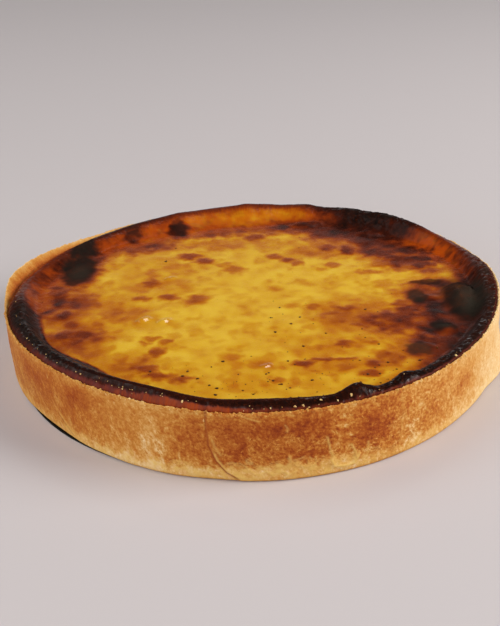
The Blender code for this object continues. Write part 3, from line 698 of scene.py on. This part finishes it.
def custardRings():
    rim, top, foot = flan["rim"], flan["top"], flan["foot"]
    inner, floor = rim - flan["wall"] - 0.3, foot + flan["floor"] + 0.3
    edge, full = rim - custard["skinInset"], crust["columns"]
    thin = custard["skinTop"] - custard["skinThickness"]
    rings = [(1, 0, top), (75, 4, top), (75, 8, top), (75, 12, top)]
    rings += [(150, r, top) for r in np.arange(15, 30.1, 2.1)]
    rings += [(300, r, top) for r in np.arange(31.5, 60.1, 1.2)]
    rings += [(600, r, top) for r in np.arange(61, 104.6, 1.0)]
    rings += [(full, r, top) for r in np.linspace(105.2, edge - 0.25, 36)]
    # down the edge of the skin, back under it and down the inner wall to the middle of the floor
    rings += [(full, edge, custard["skinTop"]), (full, edge + 0.12, thin + 0.8), (full, edge - 0.1, thin),
              (600, edge - 0.6, thin - 0.2), (600, inner + 1.0, top - 1.6), (600, inner + 0.1, top - 2.1),
              (300, inner - 0.05, foot + 15.7), (300, inner - 0.24, floor + 2),
              (300, inner - 0.64, floor + 0.8), (300, inner - 1.8, floor)]
    return rings + [(150, 70, floor), (75, 30, floor), (1, 0, floor)]


def ridgeAt(angle):
    # height of the crest, and how far in the crest and the foot of its slope lie
    rises = sum(rise * bell(angle, *where) for *where, rise in custard["rises"])
    back, left = bell(angle, *custard["back"]), bell(angle, *custard["left"])
    crest = flan["foot"] + custard["crest"] + rises - 0.6 * lipShare(angle)
    crest = crest + uneven(angle, *custard["crestWave"])
    inset = custard["crestInset"] + 0.5 * rises - 1.0 * back + 1.5 * left
    foot = custard["slopeFoot"] + 0.5 * rises + custard["backSlope"] * back + custard["leftSlope"] * left
    foot = foot + sum(shift * bell(angle, *where) for *where, shift in custard["footShifts"])
    return crest, inset, foot


def domeAt(x, y):
    height = np.zeros_like(x)
    for centreX, centreY, halfX, halfY, rise in custard["domes"]:
        reach = np.hypot((x - centreX) / halfX, (y - centreY) / halfY)
        height = np.maximum(height, rise * smooth(1.2 - 1.2 * reach) ** 0.8)
    return height


def pimpleRelief(x, y, relief):
    # smooth little slopes, level all round, that face where the light comes from
    bend = 2 * custard["dish"] / flan["rim"] ** 2
    for centreX, centreY, half, slope, facing in custard["pimples"]:
        faceX, faceY = np.cos(radians(facing)), np.sin(radians(facing))
        offX, offY = x - centreX, y - centreY
        down = (offX * faceX + offY * faceY) / half
        aside = (offY * faceX - offX * faceY) / half
        near = smooth(1.9 - np.hypot(offX, offY) / half)
        relief = relief - near * (relief + bend * (centreX * offX + centreY * offY))
        rise = slope * half * fadeIn(down, -0.9, 0.4) * np.clip(1 - down, 0, 1.5)
        relief = relief + rise * fadeOut(np.abs(aside), 1.4, 0.5)
    return relief


def wedgeShare(x, y, wedgeEnd):
    # the strip that stayed yellow, thinner towards its end
    wedge = np.zeros_like(x)
    for (ax, ay), (bx, by) in zip(custard["wedge"], custard["wedge"][1:]):
        dx, dy = bx - ax, by - ay
        share = np.clip(((x - ax) * dx + (y - ay) * dy) / (dx ** 2 + dy ** 2), 0, 1)
        reach = np.hypot(x - ax - share * dx, y - ay - share * dy)
        wedge = np.maximum(wedge, smooth(1.4 - reach / (custard["wedgeWidth"] * (1 - 0.6 * wedgeEnd))))
    return wedge


def makeCustard():
    rings = custardRings()
    angle, radius, height = spreadRings(rings)
    rim, top, foot = flan["rim"], flan["top"], flan["foot"]
    edge = rim - custard["skinInset"]
    inset = rim - radius
    flat = onTurn(angle, radius * roundness(angle), 0 * radius)
    around = onTurn(angle, rim * np.ones_like(angle), 0.12 * inset)
    x, y = flat[:, 0], flat[:, 1]
    crest, crestInset, footInset = ridgeAt(angle)
    onTop = (height > top - 0.1) & (radius < edge - 0.1)

    def noisy(kind, places=flat):
        return fractal(places, *custard["noises"][kind])

    def byAngle(table):
        return roundTurn(angle, custard[table], 1)

    *columns, fade, rough, sooty, red = (roundTurn(angle, custard["ridgeTones"], n) for n in range(1, 10))

    # place across the ridge: 0 at the skin's edge, 1 at the crest, 2 at the foot of the slope
    outer = (inset - custard["skinInset"]) / (crestInset - custard["skinInset"])
    beyond = inset - footInset
    across = np.where(outer < 1, np.clip(outer, 0, 1), 1 + (inset - crestInset) / (footInset - crestInset))
    level = foot + custard["centre"] + custard["dish"] * (radius / rim) ** 2
    bare = smooth(2.2 * lipShare(angle))
    climb = custard["climb"] * bare + swellAt(angle)            # the skin climbs the raised rim
    edgeTop = custard["skinTop"] + climb
    outside = crest - (crest - edgeTop) * np.clip(1 - outer, 0, 1) ** custard["skinRounding"]
    domes = domeAt(x, y) * (1 + custard["domeLumps"] * noisy("domes"))
    surface = np.where(outer < 1, outside, level + (crest - level) * (1 - smooth(across - 1)) + domes)

    # relief of the skin
    ridgeShare = fadeIn(outer, 0, 0.25) * fadeOut(across, 2.3, 1)
    relief = rough * ridgeShare * (1.1 * noisy("lumps") + 0.25 * noisy("pits"))
    wrinkle, folds = noisy("wrinkle", around), noisy("folds", around)
    onOuter = fadeOut(across, 1, 0.3) * fadeIn(outer, 0, 0.1)
    relief += (0.05 * wrinkle + 0.16 * folds) * onOuter * (0.35 + 0.65 * red)
    opened = fadeIn(across, 1.6, 1)
    relief += opened * (0.16 * noisy("swells") + 0.05 * noisy("ripples"))
    warpX = x + custard["warp"] * noisy("warpX")
    warpY = y + custard["warp"] * noisy("warpY")
    spots = 0.92 * spotted(warpX, warpY, custard["spots"], 0.66, 1.18)
    relief += custard["spotHeight"] * opened * fadeIn(spots, 0.3, 0.4)
    relief = pimpleRelief(x, y, relief)
    surface = surface + np.where(outer > 0, relief, 0)

    # the skin's edge laps onto the crust
    radiusNew, heightNew = radius.copy(), np.where(onTop, surface, height)
    seat = rim - flan["wall"] + 0.6
    onSkin = (radius > seat) & (height > top - 1.5)
    heightNew += np.where((radius > edge - 0.1) & (height > top - 1.6), climb, 0)
    radiusNew -= np.where(onSkin, (radius - seat) * custard["skinPull"] * bare, 0)
    ragged = 0.7 * noisy("tatters", around) + 0.6 * noisy("scallops", around)
    nearEdge = fadeIn(radius, edge - 1.2, 1.2) * (height > top - 0.5)
    strayed = (uneven(angle, *custard["edgeWave"]) + custard["ragged"] * ragged) * nearEdge
    radiusNew += np.where(onSkin, strayed * (1 - bare), 0)
    points = onTurn(angle, radiusNew * roundness(angle), heightNew)

    # browning across the ridge, then out over the open custard
    knots = (0.0, 0.5, 1.0, 1.5, 2.0)
    tone = np.zeros_like(angle)
    for low, high, here, after in zip(knots, knots[1:], columns, columns[1:]):
        inside = (across >= low) & (across <= high)
        tone = np.where(inside, here + (after - here) * fadeIn(across, low, high - low), tone)
    areas = np.maximum(spotted(warpX, warpY, custard["areas"], 0.85), custard["plain"])
    clouds = 0.15 * noisy("clouds") + 0.14 * noisy("smallClouds")
    mottle = clouds * (0.62 + 0.7 * (areas - custard["plain"])) + 0.09 * fadeIn(noisy("blooms"), 0.08, 0.4)
    spread = smooth(beyond / fade)
    tone = np.where(beyond > 0, columns[4] + (areas + mottle - columns[4]) * spread, tone)
    streaks = 0.11 * noisy("streaks") + 0.05 * noisy("fineStreaks")
    lively = fadeIn(across, 1.05, 0.3) * (1 - spread)
    tone = tone + streaks * (lively + 0.25 * (across <= 1.05))
    crisp = bell(angle, *custard["crisp"]) * (across > 1) * (beyond < 8)
    softer = np.minimum(tone, 0.58)
    tone += crisp * (softer + fadeIn(tone, 0.64, 0.14) * (np.maximum(tone, 0.93) - softer) - tone)
    tone = np.maximum(tone, np.where(across > 1.3, spots + 0.6 * mottle * (spots > 0.05), 0))
    sootX, sootY = x + custard["warp"] * noisy("sootX"), y + custard["warp"] * noisy("sootY")
    soot = spotted(sootX, sootY, custard["soot"], 0.28)
    bandSoot = sooty * fadeOut(across, 2.0, 1) * fadeIn(outer, 0, 0.4)
    soot = np.maximum(soot, bandSoot * smooth(0.6 + noisy("sootBand")))
    wedgeEnd = fadeIn(x, 84, 12)
    wedge = wedgeShare(x, y, wedgeEnd)
    tone += (0.30 + 0.15 * wedgeEnd - tone) * wedge
    soot *= 1 - wedge

    # clear amber, gloss and the red edge
    amber = byAngle("amber") * fadeIn(across, 1.0, 0.5) * (1 - smooth(beyond / 9))
    amber *= (1 - fadeIn(tone, 0.66, 0.2)) * (1 - wedge) * smooth(0.65 + 1.1 * noisy("amber"))
    wet = sum(np.exp(-((x - px) ** 2 + (y - py) ** 2) / (1.3 * half) ** 2)
              for px, py, half, *_ in custard["pimples"])
    glints = fadeIn(noisy("glints"), 0.12, 0.25) * fadeIn(outer, 0, 0.4) * fadeOut(across, 1.3, 0.2)
    wet = np.maximum(wet, byAngle("gloss") * glints)
    redLine = byAngle("redLine")
    redTop = redLine + 0.10 * noisy("redLine", around) + 0.08 * wrinkle
    redEdge = red * fadeOut(outer, redTop, 0.14) * (outer < 1) * (0.8 + 0.25 * folds)
    band = fadeOut(across, 1.9, 1) * (1 - 0.75 * fadeIn(rough, 0.14, 0.18))

    # where crumbs lie: along the red edge and sparsely over the ridge
    front = bell(angle, *custard["crumbFront"])
    crumbShare = (0.15 + 0.85 * front) * hump(outer - redLine, 0.12) + 0.03 * fadeOut(across, 1.2, 1)
    # where vanilla specks lie: most by the front, and some right of the middle
    rightOfMiddle = smooth(1.3 - np.hypot((x - 35) / 36, (y + 48) / 40))
    speckShare = 0.02 + 0.98 * fadeOut(y, -62, 36) + 0.40 * rightOfMiddle
    fields = {
        "toast": np.clip(tone, 0, 1), "soot": np.clip(soot, 0, 1), "redEdge": np.clip(redEdge, 0, 1),
        "maroonSheen": bell(angle, *custard["maroonSheen"]), "band": band, "amber": amber,
        "ashAndSheen": spotted(x, y, custard["ashAndSheen"], 0.6), "around": around * mm, "wet": np.clip(wet, 0, 1),
        "crumbShare": onTop * crumbShare,
        "speckShare": onTop * fadeIn(across, 1.8, 0.1) * np.clip(speckShare, 0, 1),
    }
    return makeMesh("baked_custard", points, ringFaces([ring[0] for ring in rings]), fields)


custardPiece = makeCustard()
print("custard:", len(custardPiece.data.polygons), "faces")


def newGroup(name, inputs, outputs, treeKind="ShaderNodeTree"):
    # a node group; its sockets are (label, kind) and, for an input, its first value if it has one
    group = bpy.data.node_groups.new(name, treeKind)
    for label, kind, *value in inputs:
        socket = group.interface.new_socket(name=label, in_out="INPUT", socket_type="NodeSocket" + kind)
        if value:
            socket.default_value = value[0]
    for label, kind in outputs:
        group.interface.new_socket(name=label, in_out="OUTPUT", socket_type="NodeSocket" + kind)
    given, made = group.nodes.new("NodeGroupInput"), group.nodes.new("NodeGroupOutput")
    return group, given.outputs, made.inputs


def feed(tree, node, links):  # links are (input, value or output socket)
    for name, value in links:
        if isinstance(value, bpy.types.NodeSocket):
            tree.links.new(value, node.inputs[name])
        else:
            node.inputs[name].default_value = value


def addNode(tree, kind, links=(), **settings):
    node = tree.nodes.new(kind)
    for name, value in settings.items():
        setattr(node, name, value)
    feed(tree, node, links)
    return node


def mathNode(tree, operation, first, second=0.0, third=0.0, clamp=False):
    links = ((0, first), (1, second), (2, third))
    return addNode(tree, "ShaderNodeMath", links, operation=operation, use_clamp=clamp).outputs[0]


def times(tree, first, second):
    return mathNode(tree, "MULTIPLY", first, second)


def centred(tree, share):  # from 0 to 1 down to -0.5 to 0.5
    return mathNode(tree, "SUBTRACT", share, 0.5)


def plus(tree, base, value, factor, clamp=False):  # base + value * factor
    return mathNode(tree, "MULTIPLY_ADD", value, factor, base, clamp)


def mixColour(tree, share, first, second):  # colours are output sockets or screen colours
    first, second = (linear(*c) if isinstance(c, tuple) else c for c in (first, second))
    links = ((0, share), (6, first), (7, second))
    return addNode(tree, "ShaderNodeMix", links, data_type="RGBA").outputs[2]


def noiseNode(tree, vector, scale, detail=2.0, roughness=0.5, distortion=0.0):
    links = (("Vector", vector), ("Scale", scale), ("Detail", detail), ("Roughness", roughness),
             ("Distortion", distortion))
    return addNode(tree, "ShaderNodeTexNoise", links).outputs["Fac"]


def ramp(tree, value, stops):
    node = addNode(tree, "ShaderNodeValToRGB", ((0, value),))
    points = node.color_ramp.elements
    while len(points) < len(stops):
        points.new(0.5)
    for point, (place, colour) in zip(points, stops):
        point.position = place
        point.color = linear(*colour)
    return node.outputs["Color"]


def makeGrainGroup():
    # fine mixed grain: a mask round 0.5 and a height for a bump
    group, given, made = newGroup("fineGrain", (
        ("Vector", "Vector"), ("Scale", "Float", 900.0), ("Contrast", "Float", 1.5)),
        (("Mask", "Float"), ("Height", "Float")))
    coarse = noiseNode(group, given["Vector"], given["Scale"], 3.0, 0.6)
    fine = noiseNode(group, given["Vector"], times(group, given["Scale"], 3.1), 2.0, 0.6)
    both = plus(group, times(group, coarse, 0.55), fine, 0.45)
    mask = plus(group, 0.5, centred(group, both), given["Contrast"], clamp=True)
    group.links.new(mask, made["Mask"])
    group.links.new(both, made["Height"])
    return group


def makeStreakGroup():
    # thin crossing streaks like the edges of pastry layers
    group, given, made = newGroup("flakyStreaks", (
        ("Vector", "Vector"), ("Scale", "Float", 400.0), ("Width", "Float", 0.06)),
        (("Mask", "Float"), ("Height", "Float")))
    vector, scale = given["Vector"], given["Scale"]
    lines = []
    for factor, distortion in ((1.0, 0.6), (2.3, 0.9)):
        field = noiseNode(group, vector, times(group, scale, factor), 2.0, 0.55, distortion)
        away = mathNode(group, "ABSOLUTE", centred(group, field))
        widths = mathNode(group, "DIVIDE", away, given["Width"])
        lines.append(mathNode(group, "SUBTRACT", 1.0, widths, clamp=True))
    both = mathNode(group, "MAXIMUM", lines[0], times(group, lines[1], 0.7))
    broken = noiseNode(group, vector, times(group, scale, 0.5), 2.0)
    gate = plus(group, 0.0, mathNode(group, "SUBTRACT", broken, 0.45), 5.0, clamp=True)
    mask = times(group, both, gate)
    group.links.new(mask, made["Mask"])
    group.links.new(mask, made["Height"])
    return group


grainGroup = makeGrainGroup()
streakGroup = makeStreakGroup()


def placeGroup(tree, group, links):
    return addNode(tree, "ShaderNodeGroup", links, node_tree=group).outputs


def newMaterial(name):
    material = bpy.data.materials.new(name)
    material.use_nodes = True
    tree = material.node_tree
    place = addNode(tree, "ShaderNodeTexCoord").outputs["Object"]
    return material, tree, tree.nodes["Principled BSDF"], place


def readField(tree, name, output="Fac"):
    return addNode(tree, "ShaderNodeAttribute", (), attribute_name=name).outputs[output]


def bumpNode(tree, height, distance, strength):
    links = (("Height", height), ("Distance", distance), ("Strength", strength))
    return addNode(tree, "ShaderNodeBump", links).outputs["Normal"]


pastryFinish = {
    "stops": (
        (0.00, (250, 221, 170)), (0.15, (241, 200, 138)), (0.30, (226, 169, 91)), (0.45, (209, 139, 56)),
        (0.60, (192, 110, 35)), (0.75, (171, 82, 19)), (0.90, (151, 62, 12)), (1.00, (134, 50, 9)),
    ),
    "flake": (240, 200, 108),
    # colour of the painted shade along the seam and beside the raised creases
    "lineShade": (146, 60, 14),
    "speckle": 0.45,
    "flecks": 0.42,              # how much paler the thin flaked lines are
    "roughness": 0.6,
    "specular": 0.22,
    "bump": 0.00025,
}


def makePastry():
    finish = pastryFinish
    material, tree, shader, place = newMaterial("pastry_baked")
    rolled = readField(tree, "rolled", "Vector")
    bake, pale, lineShade, curl, calm, fleckShare = (
        readField(tree, n) for n in ("bake", "pale", "lineShade", "curl", "calm", "fleckShare"))
    grain = placeGroup(tree, grainGroup, (("Vector", place), ("Scale", 900.0), ("Contrast", 2.2)))
    drawn = placeGroup(tree, streakGroup, (("Vector", rolled), ("Scale", 640.0), ("Width", 0.085)))
    curled = placeGroup(tree, streakGroup, (("Vector", place), ("Scale", 420.0), ("Width", 0.055)))
    drawnFlecks = times(tree, drawn["Mask"], plus(tree, 1.0, curl, -0.5))
    flecks = mathNode(tree, "MAXIMUM", drawnFlecks, times(tree, curled["Mask"], curl))
    flecks = times(tree, flecks, fleckShare)
    speckle = plus(tree, finish["speckle"], calm, -0.7 * finish["speckle"])
    tone = plus(tree, bake, centred(tree, grain["Mask"]), speckle)
    tone = plus(tree, tone, flecks, -finish["flecks"], clamp=True)
    colour = ramp(tree, tone, finish["stops"])
    colour = mixColour(tree, times(tree, pale, 0.8), colour, finish["flake"])
    # painted shade along the seam and beside the raised creases
    colour = mixColour(tree, times(tree, lineShade, 0.9), colour, finish["lineShade"])
    rough = plus(tree, finish["roughness"] - 0.1, grain["Mask"], 0.25)
    height = plus(tree, grain["Height"], flecks, 0.6)
    feed(tree, shader, (("Base Color", colour), ("Roughness", rough),
                        ("Normal", bumpNode(tree, height, finish["bump"], 0.7)),
                        ("Specular IOR Level", finish["specular"])))
    return material


custardFinish = {
    "stops": (
        (0.00, (234, 194, 60)), (0.14, (225, 177, 46)), (0.26, (209, 148, 25)), (0.38, (193, 116, 14)),
        (0.48, (173, 91, 12)), (0.58, (145, 62, 12)), (0.68, (110, 41, 14)), (0.78, (78, 27, 12)),
        (0.88, (46, 17, 10)), (1.00, (20, 10, 7)),
    ),
    "darkSoot": (13, 11, 9),
    "paleSoot": (38, 32, 26),
    # grey of the ash with its painted sheen
    "ashAndSheen": (50, 47, 38),
    "amber": (202, 80, 7),
    "thinRed": (172, 72, 27),    # the red edge where it is thin and where it is thick; the thick colour holds a painted pinkish sheen
    "thickRedSheen": (112, 56, 54),
    "roughness": 0.27,
    "specular": 0.05,
    "coatRoughness": 0.1,
    "bump": 0.00012,
}


def makeCustardFinish():
    finish = custardFinish
    material, tree, shader, place = newMaterial("custard_baked")
    around = readField(tree, "around", "Vector")
    toast, soot, ashAndSheen, redEdge, maroonSheen, band, wet, amber = (
        readField(tree, n) for n in ("toast", "soot", "ashAndSheen", "redEdge", "maroonSheen", "band", "wet", "amber"))
    grain = placeGroup(tree, grainGroup, (("Vector", place), ("Scale", 520.0), ("Contrast", 1.6)))
    speckle = centred(tree, grain["Mask"])
    wrinkle = times(tree, centred(tree, noiseNode(tree, around, 1500.0, 2.0)), band)

    # the browned skin, with clear amber on its slopes
    tone = plus(tree, toast, speckle, 0.03)
    tone = plus(tree, tone, wrinkle, 0.25, clamp=True)
    colour = ramp(tree, tone, finish["stops"])
    amber = plus(tree, amber, speckle, 0.3, clamp=True)
    colour = mixColour(tree, times(tree, amber, 0.85), colour, finish["amber"])

    # the red edge: brighter where it is thin, darker and pinker at the left front, where a pinkish sheen is
    # painted
    redTone = plus(tree, redEdge, centred(tree, noiseNode(tree, around, 480.0, 3.0, 0.6)), 1.6, clamp=True)
    redTone = plus(tree, redTone, wrinkle, 1.6, clamp=True)
    # towards the thick red colour with its painted pinkish sheen at the left front
    redTone = plus(tree, redTone, maroonSheen, -0.65, clamp=True)
    redColour = mixColour(tree, redTone, finish["thickRedSheen"], finish["thinRed"])
    red = plus(tree, redEdge, wrinkle, 0.25, clamp=True)
    colour = mixColour(tree, times(tree, red, 0.9), colour, redColour)

    # soot, with paler grey on it: partly ash, partly a painted sheen
    sootColour = mixColour(tree, grain["Mask"], finish["darkSoot"], finish["paleSoot"])
    sootColour = mixColour(tree, ashAndSheen, sootColour, finish["ashAndSheen"])
    sootShare = plus(tree, soot, speckle, times(tree, soot, 0.6), clamp=True)
    colour = mixColour(tree, times(tree, sootShare, 0.9), colour, sootColour)

    rough = plus(tree, finish["roughness"], sootShare, 0.50)
    for mask, share in ((band, -0.06), (redEdge, 0.16), (speckle, 0.12)):
        rough = plus(tree, rough, mask, share)
    rough = times(tree, rough, plus(tree, 1.0, wet, -0.6))
    height = plus(tree, grain["Height"], wrinkle, 1.2)
    feed(tree, shader, (("Base Color", colour), ("Roughness", rough), ("Coat Weight", wet),
                        ("Normal", bumpNode(tree, height, finish["bump"], 0.5)),
                        ("Specular IOR Level", finish["specular"]),
                        ("Coat Roughness", finish["coatRoughness"])))
    return material


steelFinish = {
    "colour": (20, 25, 24),
    "worn": (52, 58, 58),
    "roughness": 0.42,
    "metallic": 0.7,
    "bump": 0.00004,
}


def makeSteelFinish():
    finish = steelFinish
    material, tree, shader, place = newMaterial("dark_steel_coated")
    grain = placeGroup(tree, grainGroup, (("Vector", place), ("Scale", 1400.0), ("Contrast", 1.4)))
    share = plus(tree, -0.6, noiseNode(tree, place, 45.0, 4.0, 0.6), 1.6, clamp=True)
    feed(tree, shader, (("Base Color", mixColour(tree, share, finish["colour"], finish["worn"])),
                        ("Roughness", plus(tree, finish["roughness"] - 0.1, grain["Mask"], 0.2)),
                        ("Normal", bumpNode(tree, grain["Height"], finish["bump"], 0.5)),
                        ("Metallic", finish["metallic"])))
    return material


# small things that lie on the flan, in mm; density in pieces for each square cm
bitSizes = ("Density", "Spacing", "Smallest", "Largest", "Length", "Flatness", "Uneven", "Upright", "Paler")
bits = {                         # the field that says where they lie, seed, then the sizes above
    "pastry_crumbs": ("crumbShare", 4, (24.0, 0.7, 0.3, 1.05, 1.5, 0.75, 0.6, 0.0, 0.0)),
    "rim_crumbs": ("crumbShare", 6, (90.0, 0.35, 0.3, 0.9, 1.3, 0.8, 0.8, 0.0, 0.15)),
    "pastry_flakes": ("flakeShare", 8, (16.0, 1.0, 0.35, 0.8, 3.0, 0.35, 0.5, 1.0, 0.22)),
    "vanilla_specks": ("speckShare", 15, (6.0, 0.5, 0.25, 1.35, 1.2, 0.6, 0.7, 0.0, 0.0)),
}


def makeBitsTree():
    # small lumps of one kind over a surface, thicker where the field named Share is higher
    tree, given, made = newGroup("scatteredBits", (
        ("Geometry", "Geometry"), *((label, "Float") for label in bitSizes),
        ("Share", "String"), ("Seed", "Int"), ("Material", "Material")),
        (("Geometry", "Geometry"),), "GeometryNodeTree")

    def node(kind, links=(), **settings):
        return addNode(tree, kind, links, **settings)

    def readFloat(name):
        links = (("Name", name),)
        return node("GeometryNodeInputNamedAttribute", links, data_type="FLOAT").outputs["Attribute"]

    spread = node("GeometryNodeDistributePointsOnFaces", (
        ("Mesh", given["Geometry"]), ("Distance Min", times(tree, given["Spacing"], mm)),
        ("Density Max", times(tree, given["Density"], 10000.0)),
        ("Density Factor", readFloat(given["Share"])), ("Seed", given["Seed"])),
        distribute_method="POISSON")

    # one lump of a few dozen faces, 1 mm across, dented by noise
    ball = node("GeometryNodeMeshUVSphere", (("Segments", 7), ("Rings", 5), ("Radius", 0.0005)))
    dents = node("ShaderNodeTexNoise", (("Scale", 1500.0), ("Detail", 1.0)))
    level = node("ShaderNodeVectorMath", ((0, dents.outputs["Color"]), (1, (0.5, 0.5, 0.5))),
                 operation="SUBTRACT")
    push = node("ShaderNodeVectorMath", (
        ("Vector", level.outputs[0]), ("Scale", times(tree, given["Uneven"], 0.0012))), operation="SCALE")
    lump = node("GeometryNodeSetPosition", (
        ("Geometry", ball.outputs["Mesh"]), ("Offset", push.outputs[0])))
    wide = node("ShaderNodeCombineXYZ", (("X", 1.0), ("Y", given["Length"]), ("Z", given["Flatness"])))
    shaped = node("GeometryNodeTransform", (("Geometry", lump.outputs[0]), ("Scale", wide.outputs[0])))

    # sizes lean towards the small ones
    draw = node("FunctionNodeRandomValue", (("Seed", given["Seed"]),), data_type="FLOAT").outputs[1]
    size = node("ShaderNodeMapRange", (
        ("Value", mathNode(tree, "POWER", draw, 3.5)), ("To Min", given["Smallest"]),
        ("To Max", given["Largest"]))).outputs[0]

    # each lump lies as the surface does and is turned at random, upright ones only a little
    upright = node("FunctionNodeAlignRotationToVector", (
        ("Rotation", spread.outputs["Rotation"]), ("Vector", (0.0, 0.0, 1.0))), axis="Y", pivot_axis="Z")
    turnRange = mathNode(tree, "SUBTRACT", 3.2, times(tree, given["Upright"], 2.6))
    turnSeed = mathNode(tree, "ADD", given["Seed"], 9.0)
    turn = node("FunctionNodeRandomValue", (
        (2, times(tree, turnRange, -1.0)), (3, turnRange), ("Seed", turnSeed)), data_type="FLOAT")
    spin = node("ShaderNodeCombineXYZ", (("Z", turn.outputs[1]),))
    turned = node("FunctionNodeRotateRotation", (
        ("Rotation", upright.outputs[0]), ("Rotate By", spin.outputs[0])), rotation_space="LOCAL")
    placed = node("GeometryNodeInstanceOnPoints", (
        ("Points", spread.outputs["Points"]), ("Instance", shaped.outputs[0]),
        ("Rotation", turned.outputs[0]), ("Scale", size)))
    real = node("GeometryNodeRealizeInstances", (("Geometry", placed.outputs[0]),))
    paler = mathNode(tree, "SUBTRACT", readFloat("bake"), given["Paler"])
    toned = node("GeometryNodeStoreNamedAttribute", (
        ("Geometry", real.outputs[0]), ("Name", "bake"), ("Value", paler)),
        data_type="FLOAT", domain="POINT")
    finished = node("GeometryNodeSetMaterial", (
        ("Geometry", toned.outputs[0]), ("Material", given["Material"])))
    tree.links.new(finished.outputs[0], made["Geometry"])
    return tree


def scatter(name, source, material):
    carrier = addObject(name + "_carrier", source.data)
    modifier = carrier.modifiers.new("bits", "NODES")
    modifier.node_group = bitsTree
    share, seed, sizes = bits[name]
    settings = dict(zip(bitSizes, sizes), Share=share, Seed=seed, Material=material)
    for item in bitsTree.interface.items_tree:
        if item.in_out == "INPUT" and item.name in settings:
            modifier[item.identifier] = settings[item.name]
    graph = bpy.context.evaluated_depsgraph_get()
    mesh = bpy.data.meshes.new_from_object(carrier.evaluated_get(graph))
    carrier.modifiers.remove(modifier)
    bpy.data.objects.remove(carrier)
    mesh.name = name
    if "id" in mesh.attributes:
        mesh.attributes.remove(mesh.attributes["id"])
    mesh.shade_smooth()
    print(name + ":", len(mesh.polygons), "faces")
    return addObject(name, mesh)


bitFinishes = {                  # dark and light colour, how fine they mix, roughness
    "pastry_crumb": ((176, 112, 44), (244, 212, 146), 420.0, 0.6),
    "vanilla_speck": ((24, 12, 7), (112, 58, 16), 300.0, 0.45),
}


def makeBitFinish(name):
    dark, light, scale, roughness = bitFinishes[name]
    material, tree, shader, place = newMaterial(name)
    share = plus(tree, -0.7, noiseNode(tree, place, scale, 2.0), 2.4, clamp=True)
    grain = placeGroup(tree, grainGroup, (("Vector", place), ("Scale", 1500.0), ("Contrast", 1.5)))
    feed(tree, shader, (("Base Color", mixColour(tree, share, dark, light)), ("Roughness", roughness),
                        ("Normal", bumpNode(tree, grain["Height"], 0.0001, 0.6)),
                        ("Specular IOR Level", 0.12)))
    return material


pastryMaterial = makePastry()
custardMaterial = makeCustardFinish()
steelMaterial = makeSteelFinish()
crumbMaterial = makeBitFinish("pastry_crumb")
speckMaterial = makeBitFinish("vanilla_speck")
crustPiece.data.materials.append(pastryMaterial)
custardPiece.data.materials.append(custardMaterial)
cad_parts["tin_base"].material_slots[0].material = steelMaterial
print("finishes are on")

bitsTree = makeBitsTree()
bitPieces = (
    (scatter("pastry_crumbs", custardPiece, crumbMaterial), "pastry"),
    (scatter("rim_crumbs", crustPiece, pastryMaterial), "pastry"),
    (scatter("pastry_flakes", crustPiece, pastryMaterial), "pastry"),
    (scatter("vanilla_specks", custardPiece, speckMaterial), "custard"),
)

# every piece rides on the flan's one body
for piece, node, slotName in ((crustPiece, "crust", "pastry"), (custardPiece, "custard", "custard")):
    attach(piece, "root")
    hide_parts(node)
for piece, slotName in bitPieces:
    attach(piece, "root")
